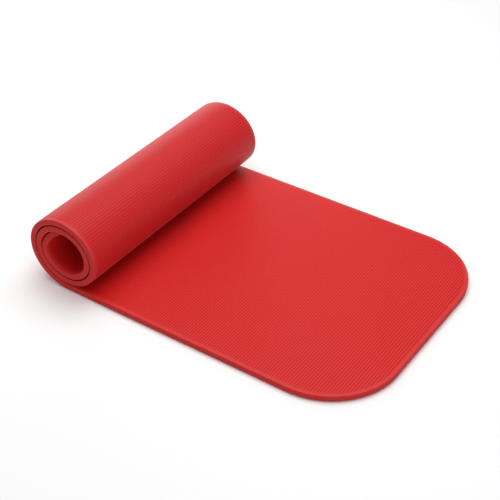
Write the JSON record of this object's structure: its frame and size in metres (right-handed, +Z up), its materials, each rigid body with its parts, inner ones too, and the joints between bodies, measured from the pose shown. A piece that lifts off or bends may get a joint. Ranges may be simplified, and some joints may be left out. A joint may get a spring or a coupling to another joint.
{
  "type": "roll-up exercise mat",
  "caption": "Thick foam exercise mat with rounded corners and finely ribbed faces, rolled up at one end and lying flat at the other. It unrolls, and its free end curls up.",
  "frame": {"origin": "on the floor at mid-width, in the middle of flat_01, the strip of the sheet next to the roll", "axes": "+Z up; +X along the floor from the roll to the free end; +Y across the mat, along the roll"},
  "size_m": [0.8137, 0.6, 0.1766],
  "materials": {
    "foam": "matt closed-cell foam skin, finely ribbed across the width"
  },
  "bodies": {
    "flat_01": {"flat_01": "foam"},
    "flat_02": {"flat_02": "foam"},
    "flat_03": {"flat_03": "foam"},
    "flat_04": {"flat_04": "foam"},
    "flat_05": {"flat_05": "foam"},
    "flat_06": {"flat_06": "foam"},
    "flat_07": {"flat_07": "foam"},
    "flat_08": {"flat_08": "foam"},
    "flat_09": {"flat_09": "foam"},
    "flat_10": {"flat_10": "foam"},
    "roll_01": {"roll_01": "foam"},
    "roll_02": {"roll_02": "foam"},
    "roll_03": {"roll_03": "foam"},
    "roll_04": {"roll_04": "foam"},
    "roll_05": {"roll_05": "foam"},
    "roll_06": {"roll_06": "foam"},
    "roll_07": {"roll_07": "foam"},
    "roll_08": {"roll_08": "foam"},
    "roll_09": {"roll_09": "foam"},
    "roll_10": {"roll_10": "foam"},
    "roll_11": {"roll_11": "foam"},
    "roll_12": {"roll_12": "foam"},
    "roll_13": {"roll_13": "foam"},
    "roll_14": {"roll_14": "foam"},
    "roll_15": {"roll_15": "foam"},
    "roll_16": {"roll_16": "foam"},
    "roll_17": {"roll_17": "foam"},
    "roll_18": {"roll_18": "foam"},
    "roll_19": {"roll_19": "foam"},
    "roll_20": {"roll_20": "foam"},
    "roll_21": {"roll_21": "foam"},
    "roll_22": {"roll_22": "foam"},
    "roll_23": {"roll_23": "foam"},
    "roll_24": {"roll_24": "foam"},
    "roll_25": {"roll_25": "foam"},
    "roll_26": {"roll_26": "foam"},
    "roll_27": {"roll_27": "foam"},
    "roll_28": {"roll_28": "foam"},
    "roll_29": {"roll_29": "foam"},
    "roll_30": {"roll_30": "foam"},
    "roll_31": {"roll_31": "foam"},
    "roll_32": {"roll_32": "foam"},
    "roll_33": {"roll_33": "foam"},
    "roll_34": {"roll_34": "foam"},
    "roll_35": {"roll_35": "foam"},
    "roll_36": {"roll_36": "foam"},
    "roll_37": {"roll_37": "foam"},
    "roll_38": {"roll_38": "foam"},
    "roll_39": {"roll_39": "foam"},
    "roll_40": {"roll_40": "foam"},
    "roll_41": {"roll_41": "foam"},
    "roll_42": {"roll_42": "foam"},
    "roll_43": {"roll_43": "foam"},
    "roll_44": {"roll_44": "foam"},
    "roll_45": {"roll_45": "foam"},
    "roll_46": {"roll_46": "foam"},
    "roll_47": {"roll_47": "foam"},
    "roll_48": {"roll_48": "foam"}
  },
  "joints": [
    {"name": "unroll_01", "type": "hinge", "parent": "flat_01", "child": "roll_01", "pos_m": [-0.03583, 0, 0.0075], "axis": [0, -1, 0], "range_deg": [0, 7.01]},
    {"name": "unroll_02", "type": "hinge", "parent": "roll_01", "child": "roll_02", "pos_m": [-0.05921, 0, 0.01037], "axis": [0, -1, 0], "range_deg": [0, 14.24]},
    {"name": "unroll_03", "type": "hinge", "parent": "roll_02", "child": "roll_03", "pos_m": [-0.08116, 0, 0.0189], "axis": [0, -1, 0], "range_deg": [0, 14.83]},
    {"name": "unroll_04", "type": "hinge", "parent": "roll_03", "child": "roll_04", "pos_m": [-0.1002, 0, 0.03275], "axis": [0, -1, 0], "range_deg": [0, 15.72]},
    {"name": "unroll_05", "type": "hinge", "parent": "roll_04", "child": "roll_05", "pos_m": [-0.11477, 0, 0.05123], "axis": [0, -1, 0], "range_deg": [0, 16.79]},
    {"name": "unroll_06", "type": "hinge", "parent": "roll_05", "child": "roll_06", "pos_m": [-0.12339, 0, 0.07311], "axis": [0, -1, 0], "range_deg": [0, 17.71]},
    {"name": "unroll_07", "type": "hinge", "parent": "roll_06", "child": "roll_07", "pos_m": [-0.12494, 0, 0.09658], "axis": [0, -1, 0], "range_deg": [0, 18.05]},
    {"name": "unroll_08", "type": "hinge", "parent": "roll_07", "child": "roll_08", "pos_m": [-0.11916, 0, 0.11937], "axis": [0, -1, 0], "range_deg": [0, 17.66]},
    {"name": "unroll_09", "type": "hinge", "parent": "roll_08", "child": "roll_09", "pos_m": [-0.10674, 0, 0.13934], "axis": [0, -1, 0], "range_deg": [0, 16.82]},
    {"name": "unroll_10", "type": "hinge", "parent": "roll_09", "child": "roll_10", "pos_m": [-0.08907, 0, 0.15488], "axis": [0, -1, 0], "range_deg": [0, 15.98]},
    {"name": "unroll_11", "type": "hinge", "parent": "roll_10", "child": "roll_11", "pos_m": [-0.06781, 0, 0.16497], "axis": [0, -1, 0], "range_deg": [0, 15.42]},
    {"name": "unroll_12", "type": "hinge", "parent": "roll_11", "child": "roll_12", "pos_m": [-0.04462, 0, 0.16904], "axis": [0, -1, 0], "range_deg": [0, 15.26]},
    {"name": "unroll_13", "type": "hinge", "parent": "roll_12", "child": "roll_13", "pos_m": [-0.02118, 0, 0.16687], "axis": [0, -1, 0], "range_deg": [0, 15.54]},
    {"name": "unroll_14", "type": "hinge", "parent": "roll_13", "child": "roll_14", "pos_m": [0.00082, 0, 0.15852], "axis": [0, -1, 0], "range_deg": [0, 16.3]},
    {"name": "unroll_15", "type": "hinge", "parent": "roll_14", "child": "roll_15", "pos_m": [0.01959, 0, 0.14433], "axis": [0, -1, 0], "range_deg": [0, 17.51]},
    {"name": "unroll_16", "type": "hinge", "parent": "roll_15", "child": "roll_16", "pos_m": [0.03323, 0, 0.12518], "axis": [0, -1, 0], "range_deg": [0, 18.95]},
    {"name": "unroll_17", "type": "hinge", "parent": "roll_16", "child": "roll_17", "pos_m": [0.0399, 0, 0.10265], "axis": [0, -1, 0], "range_deg": [0, 20.03]},
    {"name": "unroll_18", "type": "hinge", "parent": "roll_17", "child": "roll_18", "pos_m": [0.03846, 0, 0.07921], "axis": [0, -1, 0], "range_deg": [0, 20.08]},
    {"name": "unroll_19", "type": "hinge", "parent": "roll_18", "child": "roll_19", "pos_m": [0.02907, 0, 0.05767], "axis": [0, -1, 0], "range_deg": [0, 19.16]},
    {"name": "unroll_20", "type": "hinge", "parent": "roll_19", "child": "roll_20", "pos_m": [0.01312, 0, 0.0404], "axis": [0, -1, 0], "range_deg": [0, 17.97]},
    {"name": "unroll_21", "type": "hinge", "parent": "roll_20", "child": "roll_21", "pos_m": [-0.00738, 0, 0.02887], "axis": [0, -1, 0], "range_deg": [0, 17.1]},
    {"name": "unroll_22", "type": "hinge", "parent": "roll_21", "child": "roll_22", "pos_m": [-0.03037, 0, 0.02388], "axis": [0, -1, 0], "range_deg": [0, 16.8]},
    {"name": "unroll_23", "type": "hinge", "parent": "roll_22", "child": "roll_23", "pos_m": [-0.05382, 0, 0.02573], "axis": [0, -1, 0], "range_deg": [0, 17.15]},
    {"name": "unroll_24", "type": "hinge", "parent": "roll_23", "child": "roll_24", "pos_m": [-0.07568, 0, 0.03441], "axis": [0, -1, 0], "range_deg": [0, 18.21]},
    {"name": "unroll_25", "type": "hinge", "parent": "roll_24", "child": "roll_25", "pos_m": [-0.09373, 0, 0.04947], "axis": [0, -1, 0], "range_deg": [0, 19.96]},
    {"name": "unroll_26", "type": "hinge", "parent": "roll_25", "child": "roll_26", "pos_m": [-0.10554, 0, 0.06976], "axis": [0, -1, 0], "range_deg": [0, 21.93]},
    {"name": "unroll_27", "type": "hinge", "parent": "roll_26", "child": "roll_27", "pos_m": [-0.10893, 0, 0.09297], "axis": [0, -1, 0], "range_deg": [0, 22.92]},
    {"name": "unroll_28", "type": "hinge", "parent": "roll_27", "child": "roll_28", "pos_m": [-0.10302, 0, 0.11566], "axis": [0, -1, 0], "range_deg": [0, 22.16]},
    {"name": "unroll_29", "type": "hinge", "parent": "roll_28", "child": "roll_29", "pos_m": [-0.08898, 0, 0.13448], "axis": [0, -1, 0], "range_deg": [0, 20.51]},
    {"name": "unroll_30", "type": "hinge", "parent": "roll_29", "child": "roll_30", "pos_m": [-0.06922, 0, 0.14719], "axis": [0, -1, 0], "range_deg": [0, 19.18]},
    {"name": "unroll_31", "type": "hinge", "parent": "roll_30", "child": "roll_31", "pos_m": [-0.04637, 0, 0.15272], "axis": [0, -1, 0], "range_deg": [0, 18.7]},
    {"name": "unroll_32", "type": "hinge", "parent": "roll_31", "child": "roll_32", "pos_m": [-0.02296, 0, 0.15064], "axis": [0, -1, 0], "range_deg": [0, 19.22]},
    {"name": "unroll_33", "type": "hinge", "parent": "roll_32", "child": "roll_33", "pos_m": [-0.00154, 0, 0.14098], "axis": [0, -1, 0], "range_deg": [0, 20.87]},
    {"name": "unroll_34", "type": "hinge", "parent": "roll_33", "child": "roll_34", "pos_m": [0.01501, 0, 0.12435], "axis": [0, -1, 0], "range_deg": [0, 23.59]},
    {"name": "unroll_35", "type": "hinge", "parent": "roll_34", "child": "roll_35", "pos_m": [0.02352, 0, 0.10253], "axis": [0, -1, 0], "range_deg": [0, 26.06]},
    {"name": "unroll_36", "type": "hinge", "parent": "roll_35", "child": "roll_36", "pos_m": [0.02159, 0, 0.07922], "axis": [0, -1, 0], "range_deg": [0, 26.06]},
    {"name": "unroll_37", "type": "hinge", "parent": "roll_36", "child": "roll_37", "pos_m": [0.0096, 0, 0.05909], "axis": [0, -1, 0], "range_deg": [0, 23.85]},
    {"name": "unroll_38", "type": "hinge", "parent": "roll_37", "child": "roll_38", "pos_m": [-0.00952, 0, 0.04551], "axis": [0, -1, 0], "range_deg": [0, 21.79]},
    {"name": "unroll_39", "type": "hinge", "parent": "roll_38", "child": "roll_39", "pos_m": [-0.03234, 0, 0.03998], "axis": [0, -1, 0], "range_deg": [0, 21.1]},
    {"name": "unroll_40", "type": "hinge", "parent": "roll_39", "child": "roll_40", "pos_m": [-0.05562, 0, 0.04303], "axis": [0, -1, 0], "range_deg": [0, 22.06]},
    {"name": "unroll_41", "type": "hinge", "parent": "roll_40", "child": "roll_41", "pos_m": [-0.07603, 0, 0.05458], "axis": [0, -1, 0], "range_deg": [0, 25]},
    {"name": "unroll_42", "type": "hinge", "parent": "roll_41", "child": "roll_42", "pos_m": [-0.08962, 0, 0.07362], "axis": [0, -1, 0], "range_deg": [0, 29.35]},
    {"name": "unroll_43", "type": "hinge", "parent": "roll_42", "child": "roll_43", "pos_m": [-0.09214, 0, 0.09679], "axis": [0, -1, 0], "range_deg": [0, 31.09]},
    {"name": "unroll_44", "type": "hinge", "parent": "roll_43", "child": "roll_44", "pos_m": [-0.08232, 0, 0.11796], "axis": [0, -1, 0], "range_deg": [0, 28.36]},
    {"name": "unroll_45", "type": "hinge", "parent": "roll_44", "child": "roll_45", "pos_m": [-0.06358, 0, 0.13198], "axis": [0, -1, 0], "range_deg": [0, 25.12]},
    {"name": "unroll_46", "type": "hinge", "parent": "roll_45", "child": "roll_46", "pos_m": [-0.04062, 0, 0.13673], "axis": [0, -1, 0], "range_deg": [0, 24.28]},
    {"name": "unroll_47", "type": "hinge", "parent": "roll_46", "child": "roll_47", "pos_m": [-0.01776, 0, 0.13163], "axis": [0, -1, 0], "range_deg": [0, 26.5]},
    {"name": "unroll_48", "type": "hinge", "parent": "roll_47", "child": "roll_48", "pos_m": [0.00039, 0, 0.1169], "axis": [0, -1, 0], "range_deg": [0, 32.58]},
    {"name": "curl_01", "type": "hinge", "parent": "flat_01", "child": "flat_02", "pos_m": [0.03583, 0, 0.015], "axis": [0, -1, 0], "range_deg": [0, 16]},
    {"name": "curl_02", "type": "hinge", "parent": "flat_02", "child": "flat_03", "pos_m": [0.1075, 0, 0.015], "axis": [0, -1, 0], "range_deg": [0, 16]},
    {"name": "curl_03", "type": "hinge", "parent": "flat_03", "child": "flat_04", "pos_m": [0.17917, 0, 0.015], "axis": [0, -1, 0], "range_deg": [0, 16]},
    {"name": "curl_04", "type": "hinge", "parent": "flat_04", "child": "flat_05", "pos_m": [0.25084, 0, 0.015], "axis": [0, -1, 0], "range_deg": [0, 16]},
    {"name": "curl_05", "type": "hinge", "parent": "flat_05", "child": "flat_06", "pos_m": [0.32251, 0, 0.015], "axis": [0, -1, 0], "range_deg": [0, 16]},
    {"name": "curl_06", "type": "hinge", "parent": "flat_06", "child": "flat_07", "pos_m": [0.39418, 0, 0.015], "axis": [0, -1, 0], "range_deg": [0, 16]},
    {"name": "curl_07", "type": "hinge", "parent": "flat_07", "child": "flat_08", "pos_m": [0.46585, 0, 0.015], "axis": [0, -1, 0], "range_deg": [0, 16]},
    {"name": "curl_08", "type": "hinge", "parent": "flat_08", "child": "flat_09", "pos_m": [0.53752, 0, 0.015], "axis": [0, -1, 0], "range_deg": [0, 16]},
    {"name": "curl_09", "type": "hinge", "parent": "flat_09", "child": "flat_10", "pos_m": [0.60919, 0, 0.015], "axis": [0, -1, 0], "range_deg": [0, 16]}
  ],
  "couplings": [
    {"joint": "unroll_02", "follows": "unroll_01", "ratio": 2.0296},
    {"joint": "unroll_03", "follows": "unroll_01", "ratio": 2.1127},
    {"joint": "unroll_04", "follows": "unroll_01", "ratio": 2.2398},
    {"joint": "unroll_05", "follows": "unroll_01", "ratio": 2.3927},
    {"joint": "unroll_06", "follows": "unroll_01", "ratio": 2.5244},
    {"joint": "unroll_07", "follows": "unroll_01", "ratio": 2.5732},
    {"joint": "unroll_08", "follows": "unroll_01", "ratio": 2.5166},
    {"joint": "unroll_09", "follows": "unroll_01", "ratio": 2.397},
    {"joint": "unroll_10", "follows": "unroll_01", "ratio": 2.2775},
    {"joint": "unroll_11", "follows": "unroll_01", "ratio": 2.198},
    {"joint": "unroll_12", "follows": "unroll_01", "ratio": 2.1748},
    {"joint": "unroll_13", "follows": "unroll_01", "ratio": 2.2148},
    {"joint": "unroll_14", "follows": "unroll_01", "ratio": 2.3223},
    {"joint": "unroll_15", "follows": "unroll_01", "ratio": 2.495},
    {"joint": "unroll_16", "follows": "unroll_01", "ratio": 2.7015},
    {"joint": "unroll_17", "follows": "unroll_01", "ratio": 2.8553},
    {"joint": "unroll_18", "follows": "unroll_01", "ratio": 2.8625},
    {"joint": "unroll_19", "follows": "unroll_01", "ratio": 2.7308},
    {"joint": "unroll_20", "follows": "unroll_01", "ratio": 2.5609},
    {"joint": "unroll_21", "follows": "unroll_01", "ratio": 2.4376},
    {"joint": "unroll_22", "follows": "unroll_01", "ratio": 2.3947},
    {"joint": "unroll_23", "follows": "unroll_01", "ratio": 2.4442},
    {"joint": "unroll_24", "follows": "unroll_01", "ratio": 2.5952},
    {"joint": "unroll_25", "follows": "unroll_01", "ratio": 2.8454},
    {"joint": "unroll_26", "follows": "unroll_01", "ratio": 3.1268},
    {"joint": "unroll_27", "follows": "unroll_01", "ratio": 3.2669},
    {"joint": "unroll_28", "follows": "unroll_01", "ratio": 3.1597},
    {"joint": "unroll_29", "follows": "unroll_01", "ratio": 2.924},
    {"joint": "unroll_30", "follows": "unroll_01", "ratio": 2.7343},
    {"joint": "unroll_31", "follows": "unroll_01", "ratio": 2.6656},
    {"joint": "unroll_32", "follows": "unroll_01", "ratio": 2.7393},
    {"joint": "unroll_33", "follows": "unroll_01", "ratio": 2.975},
    {"joint": "unroll_34", "follows": "unroll_01", "ratio": 3.3637},
    {"joint": "unroll_35", "follows": "unroll_01", "ratio": 3.7157},
    {"joint": "unroll_36", "follows": "unroll_01", "ratio": 3.7149},
    {"joint": "unroll_37", "follows": "unroll_01", "ratio": 3.4002},
    {"joint": "unroll_38", "follows": "unroll_01", "ratio": 3.1066},
    {"joint": "unroll_39", "follows": "unroll_01", "ratio": 3.0078},
    {"joint": "unroll_40", "follows": "unroll_01", "ratio": 3.1447},
    {"joint": "unroll_41", "follows": "unroll_01", "ratio": 3.5645},
    {"joint": "unroll_42", "follows": "unroll_01", "ratio": 4.1843},
    {"joint": "unroll_43", "follows": "unroll_01", "ratio": 4.4326},
    {"joint": "unroll_44", "follows": "unroll_01", "ratio": 4.0438},
    {"joint": "unroll_45", "follows": "unroll_01", "ratio": 3.581},
    {"joint": "unroll_46", "follows": "unroll_01", "ratio": 3.4616},
    {"joint": "unroll_47", "follows": "unroll_01", "ratio": 3.7777},
    {"joint": "unroll_48", "follows": "unroll_01", "ratio": 4.6457},
    {"joint": "curl_02", "follows": "curl_01", "ratio": 1},
    {"joint": "curl_03", "follows": "curl_01", "ratio": 1},
    {"joint": "curl_04", "follows": "curl_01", "ratio": 1},
    {"joint": "curl_05", "follows": "curl_01", "ratio": 1},
    {"joint": "curl_06", "follows": "curl_01", "ratio": 1},
    {"joint": "curl_07", "follows": "curl_01", "ratio": 1},
    {"joint": "curl_08", "follows": "curl_01", "ratio": 1},
    {"joint": "curl_09", "follows": "curl_01", "ratio": 1}
  ]
}
